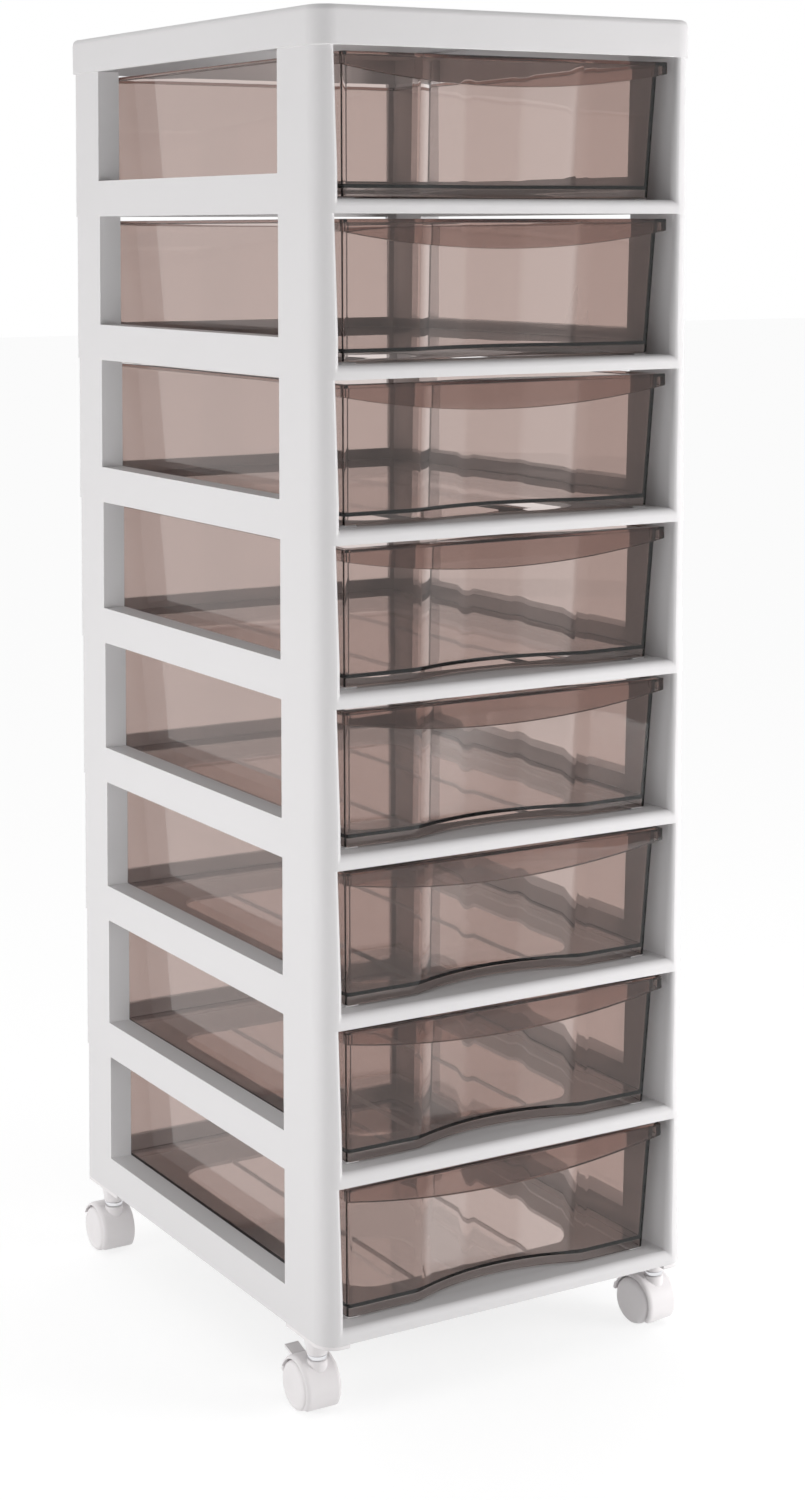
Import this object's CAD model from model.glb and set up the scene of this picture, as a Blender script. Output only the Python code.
"""Looks of the drawer tower: white frames and cover, smoke-clear drawers and twin-wheel casters."""

import math

import bmesh
import bpy
from mathutils import Matrix, Vector


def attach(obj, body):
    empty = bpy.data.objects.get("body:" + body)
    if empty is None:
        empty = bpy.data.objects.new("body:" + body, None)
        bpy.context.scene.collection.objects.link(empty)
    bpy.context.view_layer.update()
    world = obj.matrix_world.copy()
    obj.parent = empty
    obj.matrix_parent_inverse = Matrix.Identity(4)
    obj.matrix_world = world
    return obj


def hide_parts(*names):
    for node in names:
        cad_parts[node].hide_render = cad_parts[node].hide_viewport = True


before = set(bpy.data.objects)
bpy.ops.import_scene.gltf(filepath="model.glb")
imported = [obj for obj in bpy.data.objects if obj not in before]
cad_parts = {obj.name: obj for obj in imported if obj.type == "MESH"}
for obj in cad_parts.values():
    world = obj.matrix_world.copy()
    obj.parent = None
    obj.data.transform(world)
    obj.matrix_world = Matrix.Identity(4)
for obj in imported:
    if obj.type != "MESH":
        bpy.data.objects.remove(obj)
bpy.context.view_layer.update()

# all sizes in millimetres, as on the part itself
MM = 0.001
SAME, NEAR = 1e-4, 0.01  # points this close are one point, and places this close are one place
LEVELS = 8
CASTER_H = 48.0
FRAME_W, FRAME_D, FRAME_H = 265.0, 340.0, 95.25
SIDE_T = 15.0
INNER = FRAME_W / 2 - SIDE_T
FRONT_POST_Y = -FRAME_D / 2 + 48.5
BACK_POST_Y = FRAME_D / 2 - 39.0
BACK_POST_X = FRAME_W / 2 - 21.5
RAIL_BACK_Y = -FRAME_D / 2 + 16.0
BACK_WALL_Y = FRAME_D / 2 - 4.0
FRONT_RAIL_H, SIDE_RAIL_H = 8.5, 23.5
DRAFT = 0.6
POST_LEAN, POST_FOOT = 3.3, 0.6  # the front posts are widest at the foot and narrow on the way up
FRONT_CORNER, BACK_CORNER, NOSE = 13.0, 3.0, 4.6
RAIL_WALL, FRONT_RAIL_HOLLOW = 2.0, 5.0

BASE_Z, BASE_T = 5.5, 2.5
OPEN_X, OPEN_Y, OPEN_CORNER = 84.0, 122.0, 20.0
RIB_X, RIB_T = 42.0, 1.2
RUNNER_IN, RUNNER_OUT, RUNNER_FOOT, RUNNER_TOP = 99.0, 108.0, 6.5, 9.5
OVERLAP = 0.5  # the base runs this far into the rails

COVER_W, COVER_D, COVER_H = 267.0, 342.0, 23.0
COVER_FRONT_CORNER, COVER_BACK_CORNER, COVER_EDGE, COVER_WALL = 14.0, 4.0, 4.0, 2.5
PAD_CORNER, PAD_PLAY, PAD_TOP = 12.0, 1.0, COVER_H - 1.5

FRONT_FOOT, FRONT_TOP = -156.5, -162.2  # the front leans out on the way up
LIP_Y, RIM_BACK_Y = -167.0, 165.5
FOOT_Z, RIM_Z, FLOOR_LIFT, WALL = 9.8, 92.2, 5.2, 2.0
FLAT_EXTRA, SIDE_EXTRA, RECESS_LESS = 1.2, 0.7, 0.6  # its walls differ a little from WALL in places
FOOT_HALF, TOP_HALF, RIM_HALF = 108.3, 111.5, 114.6
BACK_FOOT, BACK_TOP = 156.5, 159.5
RECESS_HALF, RECESS_DEEP = 59.0, 12.3
FLAT_STEPS = (70.0, 82.0, 94.0)  # extra points along the front's flats, for an even lip
# where the drawer's outline has a rounded corner, and its radius
CORNER_ROUNDS = [
    (FOOT_HALF, FRONT_FOOT, 3.0),
    (FOOT_HALF, BACK_FOOT, 6.0),
    (RECESS_HALF, FRONT_FOOT, 3.5),
]
LIP_MID, LIP_END, LIP_THICK, LIP_GAP = 17.7, 7.1, 4.5, 0.6
HEM = 2.0
RETURN_Y = LIP_Y + 15.5  # the lip turns back along the sides as far as this
# past these, a point of the drawer belongs to its front, its back, a side or a side wall
AT_FRONT, AT_BACK, AT_SIDE, AT_WALL = RETURN_Y - 5, BACK_FOOT - 8, TOP_HALF - 4, TOP_HALF - 7

STEM_X, STEM_Y, TRAIL, AXLE_Z = 124.0, 146.0, 8.0, 15.0
PLATE_W, PLATE_HALF, PLATE_Z = 18.0, 24.0, 45.5
HOOD_TURN, HOOD_START = 193.0, -65.0
AXLE_HALF, AXLE_R, AXLE_CHAMFER = 11.0, 2.0, 0.3

# each corner's side, its end, and how far its caster has turned, in degrees
CORNERS = {
    "front_left": (-1, -1, 0),
    "front_right": (1, -1, 8),
    "back_left": (-1, 1, 0),
    "back_right": (1, 1, 0),
}


def seam_z(level):
    return CASTER_H + FRAME_H * (LEVELS - level)


# ---------------------------------------------------------------- mesh helpers


def new_verts(made):
    return [g for g in made if isinstance(g, bmesh.types.BMVert)]


def new_faces(made):
    return [g for g in made if isinstance(g, bmesh.types.BMFace)]


def edges_of(faces):
    return list(dict.fromkeys(e for f in faces for e in f.edges))


def verts_of(faces):
    return list(dict.fromkeys(v for f in faces for v in f.verts))


def sheet(x0, x1, y0, y1, z=0.0):
    bm = bmesh.new()
    bmesh.ops.create_grid(bm, x_segments=1, y_segments=1, size=0.5)
    bmesh.ops.scale(bm, vec=(x1 - x0, y1 - y0, 1), verts=bm.verts)
    bmesh.ops.translate(bm, vec=((x0 + x1) / 2, (y0 + y1) / 2, z), verts=bm.verts)
    return bm


def slice_at(bm, geom, axis, place):
    """Cuts new edges where a plane across an axis meets the geometry, and returns all of it."""
    point, normal = Vector(), Vector()
    point[axis], normal[axis] = place, 1
    return bmesh.ops.bisect_plane(bm, geom=geom, plane_co=point, plane_no=normal, dist=SAME)["geom"]


def cut(bm, axis, places):
    for place in places:
        slice_at(bm, bm.verts[:] + bm.edges[:] + bm.faces[:], axis, place)


def drop(bm, faces):
    bmesh.ops.delete(bm, geom=faces, context="FACES")


def lift(bm, faces, by):
    """Extrudes a region of faces straight up or down and returns its new faces."""
    made = bmesh.ops.extrude_face_region(bm, geom=faces + edges_of(faces))["geom"]
    bmesh.ops.translate(bm, vec=(0, 0, by), verts=new_verts(made))
    return new_faces(made)


def faces_at(bm, z, test=lambda c: True):
    """The level faces at a height whose middle passes a test."""
    level = [f for f in bm.faces if all(abs(v.co.z - z) < NEAR for v in f.verts)]
    return [f for f in level if test(f.calc_center_median())]


def round_edges(bm, edges, radius, segments, clamp=False):
    bmesh.ops.bevel(
        bm,
        geom=edges,
        offset=radius,
        offset_type="OFFSET",
        segments=segments,
        profile=0.5,
        affect="EDGES",
        clamp_overlap=clamp,
        material=-1,
    )


def round_corners(bm, verts, radius, segments):
    bmesh.ops.bevel(
        bm,
        geom=verts,
        offset=radius,
        offset_type="OFFSET",
        segments=segments,
        profile=0.5,
        affect="VERTICES",
        clamp_overlap=False,
        material=-1,
    )


def edges_where(bm, test):
    return [e for e in bm.edges if test(e.verts[0].co, e.verts[1].co)]


def upright(a, b):
    return abs(a.x - b.x) < NEAR and abs(a.y - b.y) < NEAR


def edges_at(bm, x, y):
    """The upright edges at a place, on both sides of the middle."""

    def there(a, b):
        return upright(a, b) and abs(abs(a.x) - x) < NEAR and abs(a.y - y) < NEAR

    return edges_where(bm, there)


def merge_flat(bm):
    bmesh.ops.dissolve_limit(bm, angle_limit=0.005, verts=bm.verts, edges=bm.edges)


def outward(bm):
    bmesh.ops.remove_doubles(bm, verts=bm.verts, dist=SAME)
    bmesh.ops.recalc_face_normals(bm, faces=bm.faces)


def soften(bm, radius=0.5, segments=2, degrees=35.0):
    edges = [e for e in bm.edges if e.is_manifold and e.calc_face_angle() > math.radians(degrees)]
    round_edges(bm, edges, radius, segments, clamp=True)


def block(lo, hi):
    bm = bmesh.new()
    bmesh.ops.create_cube(bm, size=1)
    bmesh.ops.scale(bm, vec=[high - low for low, high in zip(lo, hi)], verts=bm.verts)
    bmesh.ops.translate(bm, vec=[(low + high) / 2 for low, high in zip(lo, hi)], verts=bm.verts)
    return bm


def lathe(points, steps, axis=(0, 0, 1), angle=360.0, start=0.0):
    """Turns an outline of (radius, height) round Z, or of (radius, along) round X."""
    bm = bmesh.new()
    along_x = axis[0] == 1
    verts = [bm.verts.new((h, 0, r) if along_x else (r, 0, h)) for r, h in points]
    for a, b in zip(verts, verts[1:]):
        bm.edges.new((a, b))
    full = angle == 360.0
    if not full:
        bm.edges.new((verts[-1], verts[0]))
        bmesh.ops.contextual_create(bm, geom=bm.edges[:])
    turn = Matrix.Rotation(math.radians(start), 3, Vector(axis))
    bmesh.ops.rotate(bm, cent=(0, 0, 0), matrix=turn, verts=bm.verts)
    bmesh.ops.spin(
        bm,
        geom=bm.verts[:] + bm.edges[:] + bm.faces[:],
        cent=(0, 0, 0),
        axis=axis,
        angle=math.radians(angle),
        steps=steps,
        use_merge=full,
    )
    outward(bm)
    return bm


def join(target, *others):
    for other in others:
        mesh = bpy.data.meshes.new("joined")
        other.to_mesh(mesh)
        other.free()
        target.from_mesh(mesh)
        bpy.data.meshes.remove(mesh)
    return target


def piece(name, bm, material, body, nodes, place=Matrix.Identity(4)):
    """Makes the finished object, in metres, riding on its body in place of its nodes."""
    mesh = bpy.data.meshes.new(name)
    bm.to_mesh(mesh)
    bm.free()
    mesh.transform(Matrix.Scale(MM, 4) @ place)
    mesh.shade_smooth()
    mesh.materials.append(material)
    obj = bpy.data.objects.new(name, mesh)
    bpy.context.scene.collection.objects.link(obj)
    even = obj.modifiers.new("even_shading", "WEIGHTED_NORMAL")
    even.keep_sharp = True
    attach(obj, body)
    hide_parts(*nodes)
    return obj


# ---------------------------------------------------------------- materials


def add(tree, kind, **values):
    node = tree.nodes.new(kind)
    for key, value in values.items():
        if key in node.inputs:
            node.inputs[key].default_value = value
        else:
            setattr(node, key, value)
    return node


def group(name, inputs, outputs):
    tree = bpy.data.node_groups.new(name, "ShaderNodeTree")
    for label, kind, value in inputs:
        socket = tree.interface.new_socket(label, in_out="INPUT", socket_type=kind)
        if value is not None:
            socket.default_value = value
    for label, kind in outputs:
        tree.interface.new_socket(label, in_out="OUTPUT", socket_type=kind)
    return tree, tree.nodes.new("NodeGroupInput"), tree.nodes.new("NodeGroupOutput")


def sums(tree, operation, *values):
    """A math node on sockets and plain numbers; gives its output socket."""
    node = add(tree, "ShaderNodeMath", operation=operation)
    for socket, value in zip(node.inputs, values):
        if isinstance(value, bpy.types.NodeSocket):
            tree.links.new(value, socket)
        else:
            socket.default_value = value
    return node.outputs[0]


def moulded_skin():
    """Fine tool texture of moulded plastic, with slow drifts in gloss and tone."""
    tree, given, out = group(
        "moulded_skin",
        [
            ("Vector", "NodeSocketVector", None),
            ("Color", "NodeSocketColor", (0.8, 0.8, 0.8, 1)),
            ("Tone Drift", "NodeSocketFloat", 0.02),
            ("Roughness", "NodeSocketFloat", 0.4),
            ("Gloss Drift", "NodeSocketFloat", 0.06),
            ("Grain Scale", "NodeSocketFloat", 900.0),
        ],
        [
            ("Color", "NodeSocketColor"),
            ("Roughness", "NodeSocketFloat"),
            ("Height", "NodeSocketFloat"),
        ],
    )
    link = tree.links.new
    slow = add(tree, "ShaderNodeTexNoise", Scale=9.0, Detail=3.0)
    link(given.outputs["Vector"], slow.inputs["Vector"])
    centred = sums(tree, "SUBTRACT", slow.outputs["Fac"], 0.5)
    tone = sums(tree, "MULTIPLY_ADD", centred, given.outputs["Tone Drift"], 1.0)
    tint = add(tree, "ShaderNodeVectorMath", operation="SCALE")
    link(given.outputs["Color"], tint.inputs[0])
    link(tone, tint.inputs["Scale"])
    link(tint.outputs[0], out.inputs["Color"])
    rough = sums(tree, "MULTIPLY_ADD", centred, given.outputs["Gloss Drift"], given.outputs["Roughness"])
    link(rough, out.inputs["Roughness"])
    grain = add(tree, "ShaderNodeTexNoise", Detail=2.0)
    link(given.outputs["Vector"], grain.inputs["Vector"])
    link(given.outputs["Grain Scale"], grain.inputs["Scale"])
    link(grain.outputs["Fac"], out.inputs["Height"])
    return tree


def flow_waves():
    """Slight waves of a moulded clear sheet, long across and short upwards, and faint wipe marks."""
    tree, given, out = group(
        "flow_waves",
        [
            ("Vector", "NodeSocketVector", None),
            ("Roughness", "NodeSocketFloat", 0.03),
            ("Marks", "NodeSocketFloat", 0.05),
        ],
        [("Roughness", "NodeSocketFloat"), ("Height", "NodeSocketFloat")],
    )
    link = tree.links.new
    stretch = add(tree, "ShaderNodeMapping", Scale=(14.0, 14.0, 40.0))
    link(given.outputs["Vector"], stretch.inputs["Vector"])
    waves = add(tree, "ShaderNodeTexNoise", Scale=1.0, Detail=1.0)
    link(stretch.outputs["Vector"], waves.inputs["Vector"])
    link(waves.outputs["Fac"], out.inputs["Height"])
    wipes = add(tree, "ShaderNodeTexNoise", Scale=30.0, Detail=4.0, Roughness=0.65)
    link(given.outputs["Vector"], wipes.inputs["Vector"])
    worn = add(tree, "ShaderNodeMapRange")
    worn.inputs["From Min"].default_value = 0.55
    worn.inputs["From Max"].default_value = 0.8
    link(wipes.outputs["Fac"], worn.inputs["Value"])
    rough = sums(
        tree, "MULTIPLY_ADD", worn.outputs["Result"], given.outputs["Marks"], given.outputs["Roughness"]
    )
    link(rough, out.inputs["Roughness"])
    return tree


def new_material(name):
    material = bpy.data.materials.new(name)
    material.use_nodes = True
    tree = material.node_tree
    shader = tree.nodes["Principled BSDF"]
    place = add(tree, "ShaderNodeTexCoord")
    return material, tree, shader, place.outputs["Object"]


def bump(tree, shader, height, strength, distance):
    relief = add(tree, "ShaderNodeBump", Strength=strength, Distance=distance)
    tree.links.new(height, relief.inputs["Height"])
    tree.links.new(relief.outputs["Normal"], shader.inputs["Normal"])


def skinned(name, color, strength, distance, skin_values):
    """A material with the moulded skin, its own values for it, and how deep its relief is."""
    material, tree, shader, place = new_material(name)
    skin = add(tree, "ShaderNodeGroup", node_tree=MOULDED_SKIN)
    tree.links.new(place, skin.inputs["Vector"])
    skin.inputs["Color"].default_value = (*color, 1)
    for label, value in skin_values.items():
        skin.inputs[label].default_value = value
    tree.links.new(skin.outputs["Color"], shader.inputs["Base Color"])
    tree.links.new(skin.outputs["Roughness"], shader.inputs["Roughness"])
    bump(tree, shader, skin.outputs["Height"], strength, distance)
    return material, shader


def moulded_plastic(name, color, roughness, grain):
    values = {"Roughness": roughness, "Tone Drift": 0.03, "Grain Scale": grain}
    material, _ = skinned(name, color, 0.25, 0.00004, values)
    return material


def plated_metal(name, color, roughness):
    values = {"Roughness": roughness, "Gloss Drift": 0.1, "Grain Scale": 2500.0}
    material, shader = skinned(name, color, 0.1, 0.00002, values)
    shader.inputs["Metallic"].default_value = 1.0
    return material


def smoke_clear(name, through):
    """Clear plastic that lets the given share of red, green and blue through a wall."""
    material, tree, shader, place = new_material(name)
    shader.inputs["Base Color"].default_value = (1, 1, 1, 1)
    smoke = add(tree, "ShaderNodeVolumeAbsorption", Density=SMOKE_DENSITY)
    taken = [-math.log(share) / (WALL * MM * SMOKE_DENSITY) for share in through]
    smoke.inputs["Color"].default_value = (*[1 - t for t in taken], 1)
    tree.links.new(smoke.outputs[0], tree.nodes["Material Output"].inputs["Volume"])
    shader.inputs["Transmission Weight"].default_value = 1.0
    shader.inputs["IOR"].default_value = 1.5
    waves = add(tree, "ShaderNodeGroup", node_tree=FLOW_WAVES)
    tree.links.new(place, waves.inputs["Vector"])
    waves.inputs["Roughness"].default_value = 0.0
    waves.inputs["Marks"].default_value = 0.04
    tree.links.new(waves.outputs["Roughness"], shader.inputs["Roughness"])
    bump(tree, shader, waves.outputs["Height"], 0.1, 0.001)
    return material


SMOKE_DENSITY = 300.0
MOULDED_SKIN = moulded_skin()
FLOW_WAVES = flow_waves()
WHITE = moulded_plastic("white_moulding", (0.73, 0.715, 0.72), 0.42, 1400.0)
CASTER_WHITE = moulded_plastic("caster_white", (0.84, 0.81, 0.815), 0.34, 1800.0)
SMOKE = smoke_clear("smoke_clear_plastic", (0.75, 0.675, 0.65))
PLATED = plated_metal("bright_plating", (0.80, 0.80, 0.82), 0.12)
STEEL = plated_metal("axle_steel", (0.58, 0.58, 0.60), 0.3)


# ---------------------------------------------------------------- cover and frames


def cover():
    """A shallow lid, with a pad over each post."""
    half_w, half_d = COVER_W / 2, COVER_D / 2
    bm = block((-half_w, -half_d, 0), (half_w, half_d, COVER_H))
    round_edges(bm, edges_at(bm, half_w, -half_d), COVER_FRONT_CORNER, 12)
    round_edges(bm, edges_at(bm, half_w, half_d), COVER_BACK_CORNER, 5)
    round_edges(bm, edges_where(bm, lambda a, b: a.z + b.z > 2 * COVER_H - NEAR), COVER_EDGE, 6)
    under = faces_at(bm, 0)
    bmesh.ops.inset_region(bm, faces=under, thickness=COVER_WALL, use_even_offset=True)
    lift(bm, under, COVER_H - COVER_WALL)
    outward(bm)
    soften(bm, 0.5)
    pad_x, pad_y = FRAME_W / 2 - PAD_PLAY, FRAME_D / 2 - PAD_PLAY
    for side in (-1, 1):
        lo, hi = sorted((side * pad_x, side * INNER))
        for front, back in ((-pad_y, FRONT_POST_Y), (BACK_POST_Y, pad_y)):
            pad = block((lo, front, 0), (hi, back, PAD_TOP))
            if front < 0:
                round_edges(pad, edges_at(pad, pad_x, front), PAD_CORNER, 8)
            join(bm, pad)
    return bm


def frame_ring():
    """Rails and posts of one level, foot at zero, with hollow undersides."""
    half_w, half_d = FRAME_W / 2, FRAME_D / 2
    bm = sheet(-half_w, half_w, -half_d, half_d)
    cut(bm, 0, (-INNER, -BACK_POST_X, BACK_POST_X, INNER))
    cut(bm, 1, (RAIL_BACK_Y, FRONT_POST_Y, BACK_POST_Y, BACK_WALL_Y))
    drop(bm, faces_at(bm, 0, lambda c: abs(c.x) < INNER and RAIL_BACK_Y < c.y < BACK_WALL_Y))

    def side(c):
        return abs(c.x) > INNER

    def post(c):
        in_side = side(c) and not FRONT_POST_Y < c.y < BACK_POST_Y
        in_back = c.y > BACK_WALL_Y and abs(c.x) > BACK_POST_X
        return in_side or in_back

    lift(bm, bm.faces[:], FRONT_RAIL_H)
    high = faces_at(bm, FRONT_RAIL_H, lambda c: side(c) or c.y > 0)
    lift(bm, high, SIDE_RAIL_H - FRONT_RAIL_H)
    lift(bm, faces_at(bm, SIDE_RAIL_H, post), FRAME_H - SIDE_RAIL_H)
    outward(bm)
    round_edges(bm, edges_at(bm, half_w, -half_d), FRONT_CORNER, 14)
    round_edges(bm, edges_at(bm, half_w, half_d), BACK_CORNER, 4)
    hollows = [
        (faces_at(bm, 0, lambda c: abs(c.x) < INNER and c.y < 0), FRONT_RAIL_HOLLOW),
        (faces_at(bm, 0, lambda c: c.x > INNER), SIDE_RAIL_H - RAIL_WALL),
        (faces_at(bm, 0, lambda c: c.x < -INNER), SIDE_RAIL_H - RAIL_WALL),
    ]
    for faces, deep in hollows:
        bmesh.ops.inset_region(bm, faces=faces, thickness=RAIL_WALL, use_even_offset=True)
        lift(bm, faces, deep)
    outward(bm)
    round_nose(bm)
    soften(bm, 0.6)
    return bm


def round_nose(bm):
    """Rounds the front rail's top edge and the posts' inner front edges, mitred where they meet."""
    steps = [NOSE * (1 - math.cos(math.radians(a))) for a in range(15, 91, 15)]
    behind = FRONT_CORNER - FRAME_D / 2 + NEAR
    front = [f for f in bm.faces if abs(f.normal.z) < 0.5 and all(v.co.y < behind for v in f.verts)]
    lines = [(0, side * (INNER + step)) for side in (-1, 1) for step in steps]
    lines += [(2, FRONT_RAIL_H - step) for step in steps]
    for axis, place in lines:
        front = new_faces(slice_at(bm, front + edges_of(front) + verts_of(front), axis, place))

    def rounded(away):
        return NOSE - math.sqrt(NOSE**2 - max(NOSE - away, 0) ** 2) - FRAME_D / 2

    for v in verts_of(front):
        across, below = abs(v.co.x) - INNER, FRONT_RAIL_H - v.co.z
        sides = [rounded(away) for away in (across, below) if away > -NEAR]
        v.co.y = max(v.co.y, min(sides))


def frame_base():
    """Plate under the drawer, open in the middle but for two thin ribs, and the drawer's runners."""
    front, back = RAIL_BACK_Y - OVERLAP, BACK_WALL_Y + OVERLAP
    bm = sheet(-INNER - OVERLAP, INNER + OVERLAP, front, back, BASE_Z)
    rib_sides = [side * RIB_X + half * RIB_T / 2 for side in (-1, 1) for half in (-1, 1)]
    cut(bm, 0, [-OPEN_X, OPEN_X] + rib_sides)
    cut(bm, 1, (-OPEN_Y, OPEN_Y))

    def in_opening(c):
        return abs(c.x) < OPEN_X and abs(c.y) < OPEN_Y and abs(abs(c.x) - RIB_X) > RIB_T / 2

    drop(bm, faces_at(bm, BASE_Z, in_opening))
    lift(bm, bm.faces[:], BASE_T)
    outward(bm)
    round_edges(bm, edges_at(bm, OPEN_X, -OPEN_Y) + edges_at(bm, OPEN_X, OPEN_Y), OPEN_CORNER, 10)
    merge_flat(bm)
    soften(bm, 0.3, 1)
    for side in (-1, 1):
        lo, hi = sorted((side * RUNNER_IN, side * RUNNER_OUT))
        runner = block((lo, front, RUNNER_FOOT), (hi, back, RUNNER_TOP))
        soften(runner, 0.6)
        join(bm, runner)
    return bm


def drafted(bm):
    """Leans a level's walls in on the way up, and narrows its front posts."""
    for v in bm.verts:
        share = DRAFT * v.co.z / FRAME_H
        if v.co.y < FRONT_POST_Y + 1 and abs(v.co.x) > INNER - 0.1:
            inward = (FRAME_W / 2 - abs(v.co.x)) / SIDE_T
            v.co.x += math.copysign(inward * (POST_LEAN * v.co.z / FRAME_H - POST_FOOT), v.co.x)
        v.co.x *= 1 - share / (FRAME_W / 2)
        v.co.y *= 1 - share / (FRAME_D / 2)
    return bm


# ---------------------------------------------------------------- drawers


def recess_radius():
    return (RECESS_HALF**2 + RECESS_DEEP**2) / (2 * RECESS_DEEP)


def drawer_outline():
    """Foot of the drawer as one flat face, whose front curves in between two flats."""
    bm = bmesh.new()
    radius = recess_radius()
    centre = (0, FRONT_FOOT + RECESS_DEEP - radius, 0)
    start = bm.verts.new((-RECESS_HALF, FRONT_FOOT, 0))
    sweep = -2 * math.asin(RECESS_HALF / radius)
    made = bmesh.ops.spin(bm, geom=[start], cent=centre, axis=(0, 0, 1), angle=sweep, steps=28)
    last = new_verts(made["geom_last"])[0]
    behind = FRONT_FOOT + RETURN_Y - FRONT_TOP
    flat = [(x, FRONT_FOOT) for x in (*FLAT_STEPS, FOOT_HALF)]
    right = [*flat, (FOOT_HALF, behind), (FOOT_HALF, BACK_FOOT)]
    for x, y in right + [(-x, y) for x, y in reversed(right)]:
        new = bm.verts.new((x, y, 0))
        bm.edges.new((last, new))
        last = new
    bm.edges.new((last, start))
    bmesh.ops.contextual_create(bm, geom=bm.edges[:])
    for x, y, radius in CORNER_ROUNDS:
        corners = [v for v in bm.verts if abs(abs(v.co.x) - x) < NEAR and abs(v.co.y - y) < NEAR]
        round_corners(bm, corners, radius, 6)
    bmesh.ops.translate(bm, vec=(0, 0, FOOT_Z), verts=bm.verts)
    return bm


def inset_wall(bm):
    """Insets the outline by a wall and gives the face that is left in the middle."""
    faces = bm.faces[:]
    bmesh.ops.inset_region(bm, faces=faces, thickness=WALL, use_even_offset=True, use_boundary=True)
    return max(bm.faces, key=lambda f: f.calc_area())


def widened(bm, verts, z):
    """Brings a loop to a height, with all four walls leaning out on the way up."""

    def at(low, high, height):
        return low + (high - low) * (height - FOOT_Z) / (RIM_Z - FOOT_Z)

    old = verts[0].co.z
    wide = at(FOOT_HALF, TOP_HALF, z) / at(FOOT_HALF, TOP_HALF, old)
    front, old_front = at(FRONT_FOOT, FRONT_TOP, z), at(FRONT_FOOT, FRONT_TOP, old)
    deep = (at(BACK_FOOT, BACK_TOP, z) - front) / (at(BACK_FOOT, BACK_TOP, old) - old_front)
    from_front = Matrix.Translation((0, -old_front, 0))
    bmesh.ops.scale(bm, vec=(wide, deep, 1), space=from_front, verts=verts)
    bmesh.ops.translate(bm, vec=(0, front - old_front, z - old), verts=verts)


def next_loop(bm, edges):
    made = bmesh.ops.extrude_edge_only(bm, edges=edges)["geom"]
    verts = new_verts(made)
    ring = set(verts)
    return verts, [g for g in made if isinstance(g, bmesh.types.BMEdge) and set(g.verts) <= ring]


def to_rim(verts, inset):
    """Moves a wall's loop out to the straight-edged rim."""
    for v in verts:
        x, y = abs(v.co.x), v.co.y
        if y < 0 and x < AT_SIDE:
            v.co.y = min(LIP_Y + LIP_THICK, y - LIP_GAP)
        elif y < AT_FRONT:
            v.co.y = FRONT_TOP - LIP_GAP + (y - FRONT_TOP) / 2
        elif y > AT_BACK:
            v.co.y = RIM_BACK_Y - inset - (BACK_TOP - y) / 2
        if x > AT_WALL:
            v.co.x = math.copysign(RIM_HALF - inset - (TOP_HALF - x) / 2, v.co.x)


def to_hem(verts):
    """Moves the rim's loop out by the hem's thickness, and its front to the face of the lip."""
    for v in verts:
        if abs(v.co.x) > AT_SIDE:
            v.co.x += math.copysign(HEM, v.co.x)
        if v.co.y > AT_BACK:
            v.co.y += HEM
        elif v.co.y < AT_FRONT:
            rounding = v.co.y - FRONT_TOP + LIP_GAP if abs(v.co.x) > TOP_HALF else 0
            v.co.y = LIP_Y + rounding


def lip_drop(x):
    sag = LIP_MID - LIP_END
    radius = (RIM_HALF**2 + sag**2) / (2 * sag)
    return LIP_MID - radius + math.sqrt(radius**2 - x**2)


def outer_skin():
    """Skirt, underside, walls and rim, with the lip that hangs from the front of its hem."""
    bm = drawer_outline()
    under = lift(bm, [inset_wall(bm)], 0)
    widened(bm, verts_of(under), FOOT_Z + FLOOR_LIFT)
    loop = [e for e in bm.edges if e.is_boundary]
    for z in (FOOT_Z + 2, RIM_Z - 5, RIM_Z - HEM):
        verts, loop = next_loop(bm, loop)
        widened(bm, verts, z)
    ledge, loop = next_loop(bm, loop)
    to_rim(ledge, HEM)
    verts, loop = next_loop(bm, loop)
    to_hem(verts)
    hem = [f for f in bm.faces if set(f.verts) & set(ledge) and set(f.verts) & set(verts)]
    verts, loop = next_loop(bm, loop)
    bmesh.ops.translate(bm, vec=(0, 0, HEM), verts=verts)
    front = [f for f in hem if f.calc_center_median().y < RETURN_Y]
    for v in verts_of(lift(bm, front, 0)):
        along = min(abs(v.co.x), RIM_HALF)
        v.co.z = RIM_Z - (lip_drop(along) if v.co.y < AT_FRONT else LIP_END)
    return bm


def inner_skin():
    """Floor and walls as seen from inside, up to the top of the rim."""
    bm = drawer_outline()
    floor = inset_wall(bm)
    drop(bm, [f for f in bm.faces if f is not floor])
    for v in bm.verts:
        if v.co.y < RETURN_Y + 8:
            v.co.y += FLAT_EXTRA if abs(v.co.x) > RECESS_HALF - 4 else -RECESS_LESS
    bmesh.ops.scale(bm, vec=(1 - SIDE_EXTRA / FOOT_HALF, 1, 1), verts=bm.verts)
    floor_z = FOOT_Z + FLOOR_LIFT + WALL
    widened(bm, bm.verts[:], floor_z)
    loop = bm.edges[:]
    for z in (floor_z + 2, RIM_Z - 3, RIM_Z):
        verts, loop = next_loop(bm, loop)
        widened(bm, verts, z)
    return bm


def drawer_tray():
    """One closed skin, down to the foot outside and back down to the floor inside."""
    bm = join(outer_skin(), inner_skin())
    bmesh.ops.bridge_loops(bm, edges=[e for e in bm.edges if e.is_boundary])
    outward(bm)
    soften(bm, 0.4, degrees=40.0)
    return bm


# ---------------------------------------------------------------- casters


def to_axle(bm):
    bmesh.ops.translate(bm, vec=(0, TRAIL, AXLE_Z), verts=bm.verts)
    return bm


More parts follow.
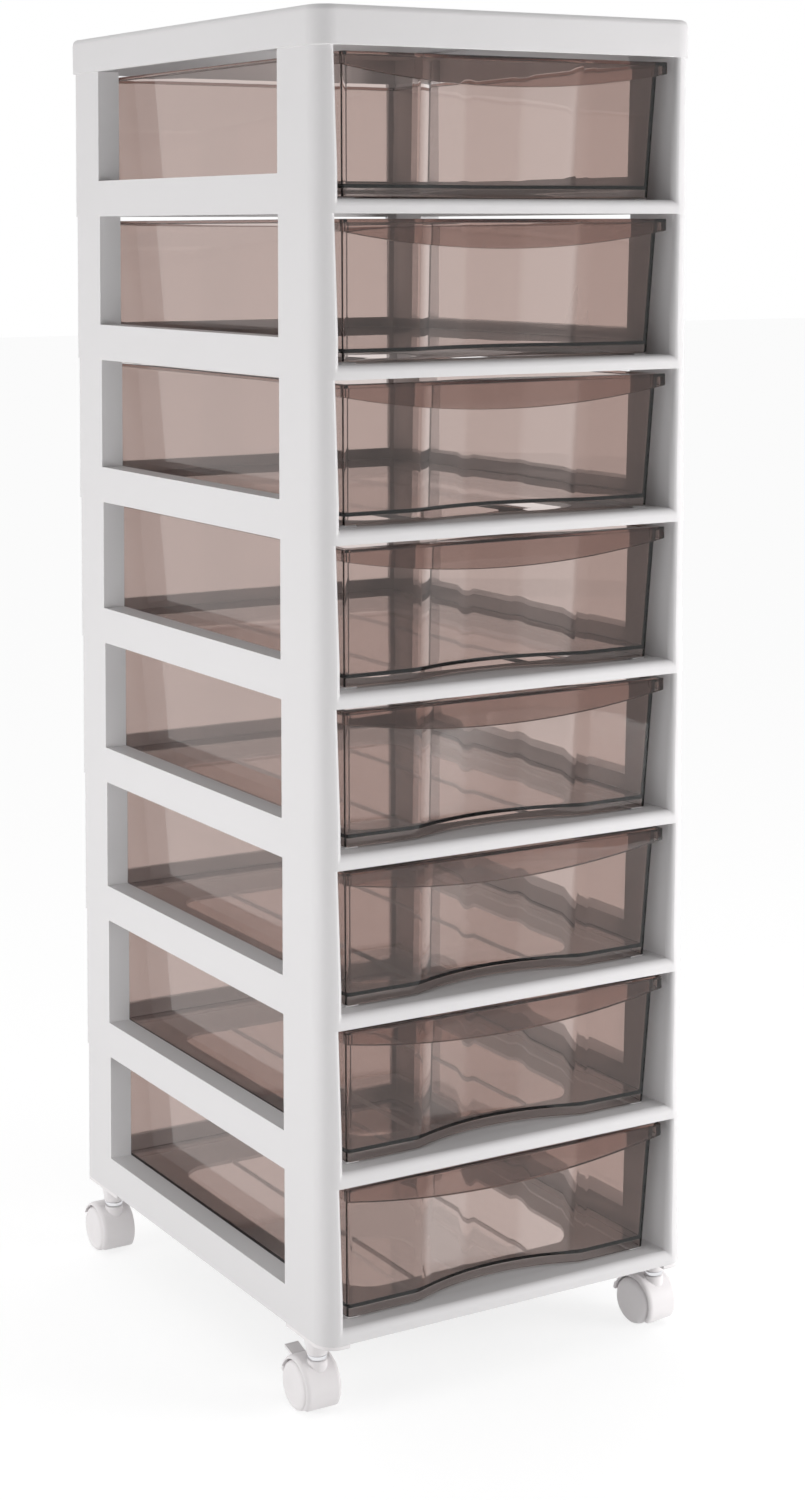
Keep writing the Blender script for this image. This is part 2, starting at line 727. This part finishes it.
def caster_socket(side, end):
    cone = lathe([(3.55, 36), (6.25, 36), (8.0, 45.5), (8.0, 46.5), (3.55, 46.5), (3.55, 36)], 40)
    soften(cone, 0.35)
    inner, outer = FRAME_W / 2 - PLATE_W - STEM_X, FRAME_W / 2 - STEM_X
    lo, hi = sorted((side * inner, side * outer))
    plate = block((lo, -PLATE_HALF, PLATE_Z), (hi, PLATE_HALF, CASTER_H))
    radius = FRONT_CORNER if end < 0 else BACK_CORNER
    round_edges(plate, edges_at(plate, outer, end * PLATE_HALF), radius, 10)
    soften(plate, 0.5)
    return join(cone, plate)


def caster_stem():
    shaft = [(0, 16), (2.5, 16.4), (2.5, 33), (5.4, 33), (6.0, 33.6), (6.0, 35.4), (5.4, 36)]
    return lathe(shaft + [(3.5, 36), (3.5, 55.4), (2.9, 56), (0, 56)], 40)


def caster_hood():
    """Hood and web turned about the axle, with the boss that carries the stem."""
    rim = [(15.9, -12.0), (18.0, -12.0), (18.0, 12.0), (15.9, 12.0)]
    web = [(15.9, 4.0), (3.0, 4.0), (3.0, -4.0), (15.9, -4.0)]
    outline = rounded_outline(rim + web, {1: 3.2, 2: 3.2})
    hood = lathe(outline, 44, axis=(1, 0, 0), angle=HOOD_TURN, start=HOOD_START)
    soften(hood, 0.5, degrees=50.0)
    ends = [(0, -4.0), (5.6, -4.0), (6.0, -3.6), (6.0, 3.6), (5.6, 4.0), (0, 4.0)]
    hub = lathe(ends, 32, axis=(1, 0, 0))
    boss = lathe([(2.6, 24), (6.25, 24), (6.25, 31.9), (5.5, 32.7), (2.6, 32.7), (2.6, 24)], 40)
    return join(to_axle(hood), to_axle(hub), boss)


def rounded_outline(points, radii):
    """Rounds chosen corners of a closed outline of (radius, along) and returns it in order."""
    bm = bmesh.new()
    verts = [bm.verts.new((a, b, 0)) for a, b in points]
    bm.faces.new(verts)
    for index, radius in radii.items():
        round_corners(bm, [verts[index]], radius, 5)
        bm.verts.ensure_lookup_table()
    loop = [(v.co.x, v.co.y) for v in bm.faces[:][0].verts]
    bm.free()
    return loop


def caster_wheel(side):
    face = [(0, 12.1), (3.4, 12.1), (3.9, 12.35), (11.2, 12.5), (13.2, 12.1), (14.4, 11.1), (15.0, 9.4)]
    back = [(15.0, 5.2), (14.3, 4.3), (2.2, 4.3), (2.2, 11.1), (0, 11.1)]
    bm = lathe(face + back, 56, axis=(1, 0, 0))
    if side < 0:
        bmesh.ops.scale(bm, vec=(-1, 1, 1), verts=bm.verts)
    outward(bm)
    return to_axle(bm)


def caster_axle():
    end, flank = AXLE_R - AXLE_CHAMFER, AXLE_HALF - AXLE_CHAMFER
    half = [(AXLE_R, flank), (end, AXLE_HALF), (0, AXLE_HALF)]
    bm = lathe([(r, -along) for r, along in reversed(half)] + half, 24, axis=(1, 0, 0))
    return to_axle(bm)


def prism(width, outline, soft):
    """A side outline of (back, up) with a width along X."""
    bm = bmesh.new()
    bm.faces.new([bm.verts.new((-width / 2, y, z)) for y, z in outline])
    made = bmesh.ops.extrude_face_region(bm, geom=bm.faces[:] + bm.edges[:])["geom"]
    bmesh.ops.translate(bm, vec=(width, 0, 0), verts=new_verts(made))
    outward(bm)
    soften(bm, soft)
    return bm


def brake_lever():
    arm = prism(3.8, [(8.6, 5.1), (14.7, 10.6), (13.4, 11.6), (5.9, 8.0)], 0.2)
    blade = [(17.3, 4.4), (19.4, 5.6), (16.0, 11.0), (25.2, 13.6), (24.6, 15.5), (12.5, 12.1)]
    pedal = prism(9.6, blade, 0.45)
    shoe = prism(20.0, [(17.1, 2.0), (19.2, 2.6), (18.0, 7.0), (15.9, 6.4)], 0.4)
    return to_axle(join(arm, pedal, shoe))


# ---------------------------------------------------------------- assembly


def raised(level):
    return Matrix.Translation((0, 0, seam_z(level)))


def build_tower():
    top = Matrix.Translation((0, 0, seam_z(1) + FRAME_H))
    piece("top_cover_moulding", cover(), WHITE, "tower", ["top_cover"], top)
    for level in range(1, LEVELS + 1):
        name = f"frame_{level}"
        shell = drafted(join(frame_ring(), frame_base()))
        piece(name + "_moulding", shell, WHITE, "tower", [name], raised(level))
        name, slot = f"drawer_{level}", "smoke_clear_plastic"
        body = name + "_body"
        tray = piece(name + "_tray", drawer_tray(), SMOKE, body, [name], raised(level))
        tray.visible_shadow = False  # light passes through the clear plastic


def build_casters():
    plastic, steel = "caster_plastic", "plated_steel"
    for corner, (side, end, turn) in CORNERS.items():
        place = Matrix.Translation((side * STEM_X, end * STEM_Y, 0))
        turned = place @ Matrix.Rotation(math.radians(turn), 4, "Z")
        swivel, brake = "caster_swivel_" + corner, "brake_" + corner
        parts = [
            ("caster_socket_", caster_socket(side, end), CASTER_WHITE, "tower", plastic, place),
            ("caster_stem_", caster_stem(), PLATED, "tower", steel, turned),
            ("caster_hood_", caster_hood(), CASTER_WHITE, swivel, plastic, turned),
            ("caster_axle_", caster_axle(), STEEL, swivel, steel, turned),
        ]
        if end < 0:
            parts.append(("brake_lever_", brake_lever(), CASTER_WHITE, brake, plastic, turned))
        for kind, bm, material, body, slot, where in parts:
            node = kind + corner
            piece(node + "_detail", bm, material, body, [node], where)
        for kind, outside in (("outer", side), ("inner", -side)):
            node = f"caster_wheel_{corner}_{kind}"
            body = f"wheel_{corner}_{kind}"
            piece(node + "_detail", caster_wheel(outside), CASTER_WHITE, body, [node], turned)


# ---------------------------------------------------------------- studio

# places and sizes of the studio are in metres, and turns in degrees

# soft light of the world, with the side it comes from and its strength, and light from all round
SOFT_LIGHTS = [((0.51, 0.86, 0), 0.8), ((0, 0, 1), 0.7)]
ALL_ROUND = 0.16
# soft boxes at the right and at the left, with their watts, leave the near corner the darkest
SOFT_BOXES = [((1.05, -1.05, 0.3), 17.0), ((-1.35, 0, 0.3), 9.0)]
BOX_SIZE = 0.9
# the paper's white, how much of it takes a shadow where it shows, and the glow in place of the rest
PAPER, SHADOW_DEPTH, PAPER_GLOW = 0.93, 0.35, 0.765
FLOOR_HALF = 15.0

CAMERA_PLACE = (-0.856, -1.483, 0.705)
CAMERA_YAW, CAMERA_PITCH, CAMERA_ROLL = -30.68, 5.09, -0.16
SENSOR_MM, FOCAL_PX, PHOTO_H_PX = 36.0, 2634, 1500
SHIFT_UP = -0.190


def shows_backdrop(tree):
    """1 for the rays that show the plain background: straight, mirrored or through clear plastic."""
    path = add(tree, "ShaderNodeLightPath")
    shown = path.outputs["Is Camera Ray"]
    for ray in ("Is Glossy Ray", "Is Transmission Ray"):
        shown = sums(tree, "MAXIMUM", shown, path.outputs[ray])
    not_scattered = sums(tree, "LESS_THAN", path.outputs["Diffuse Depth"], 0.5)
    return sums(tree, "MULTIPLY", shown, not_scattered)


def build_world():
    """Soft light from behind, from above and from all round, and a plain white backdrop."""
    world = bpy.data.worlds.new("studio")
    bpy.context.scene.world = world
    world.use_nodes = True
    tree = world.node_tree
    tree.nodes.clear()
    out = add(tree, "ShaderNodeOutputWorld")
    place = add(tree, "ShaderNodeTexCoord")
    level = ALL_ROUND
    for toward, strength in SOFT_LIGHTS:
        facing = add(tree, "ShaderNodeVectorMath", operation="DOT_PRODUCT")
        tree.links.new(place.outputs["Generated"], facing.inputs[0])
        facing.inputs[1].default_value = toward
        one_way = sums(tree, "MAXIMUM", facing.outputs["Value"], 0.0)
        level = sums(tree, "MULTIPLY_ADD", sums(tree, "POWER", one_way, 2.0), strength, level)
    soft = add(tree, "ShaderNodeBackground", Color=(1, 1, 1, 1))
    tree.links.new(level, soft.inputs["Strength"])
    plain = add(tree, "ShaderNodeBackground", Color=(1, 1, 1, 1), Strength=1.0)
    mix = add(tree, "ShaderNodeMixShader")
    tree.links.new(shows_backdrop(tree), mix.inputs[0])
    tree.links.new(soft.outputs[0], mix.inputs[1])
    tree.links.new(plain.outputs[0], mix.inputs[2])
    tree.links.new(mix.outputs[0], out.inputs["Surface"])


def build_floor():
    """White paper that keeps the tower's shadow."""
    bm = sheet(-FLOOR_HALF, FLOOR_HALF, -FLOOR_HALF, FLOOR_HALF)
    mesh = bpy.data.meshes.new("studio_floor")
    bm.to_mesh(mesh)
    bm.free()
    floor = bpy.data.objects.new("studio_floor", mesh)
    bpy.context.scene.collection.objects.link(floor)
    material, tree, shader, _ = new_material("studio_paper")
    shader.inputs["Roughness"].default_value = 0.9
    shader.inputs["Specular IOR Level"].default_value = 0.0
    shown = shows_backdrop(tree)
    paper = add(tree, "ShaderNodeMix", data_type="RGBA")
    lighting, seen = paper.inputs[6], paper.inputs[7]
    lighting.default_value = (PAPER, PAPER, PAPER, 1)
    seen.default_value = (*[PAPER * SHADOW_DEPTH] * 3, 1)
    tree.links.new(shown, paper.inputs["Factor"])
    tree.links.new(paper.outputs[2], shader.inputs["Base Color"])
    shader.inputs["Emission Color"].default_value = (1, 1, 1, 1)
    tree.links.new(sums(tree, "MULTIPLY", shown, PAPER_GLOW), shader.inputs["Emission Strength"])
    mesh.materials.append(material)


def build_boxes():
    """Soft boxes that light the tower and leave no mark in its clear plastic."""
    for place, power in SOFT_BOXES:
        light = bpy.data.lights.new("soft_box", "AREA")
        light.shape = "DISK"
        light.size = BOX_SIZE
        light.energy = power
        obj = bpy.data.objects.new("soft_box", light)
        obj.location = place
        to_tower = Vector((0, 0, place[2])) - Vector(place)
        obj.rotation_euler = to_tower.to_track_quat("-Z", "Y").to_euler()
        bpy.context.scene.collection.objects.link(obj)
        obj.visible_camera = obj.visible_glossy = obj.visible_transmission = False


def build_camera():
    data = bpy.data.cameras.new("camera")
    data.sensor_width = SENSOR_MM
    data.lens = SENSOR_MM * FOCAL_PX / PHOTO_H_PX
    data.shift_y = SHIFT_UP
    data.clip_start = 0.01
    camera = bpy.data.objects.new("camera", data)
    bpy.context.scene.collection.objects.link(camera)
    yaw = Matrix.Rotation(math.radians(CAMERA_YAW), 4, "Z")
    pitch = Matrix.Rotation(math.radians(90 - CAMERA_PITCH), 4, "X")
    roll = Matrix.Rotation(math.radians(CAMERA_ROLL), 4, "Z")
    camera.matrix_world = Matrix.Translation(CAMERA_PLACE) @ yaw @ pitch @ roll
    bpy.context.scene.camera = camera


build_camera()
build_world()
build_boxes()
build_floor()
build_tower()
build_casters()
bpy.context.scene.view_settings.view_transform = "Standard"
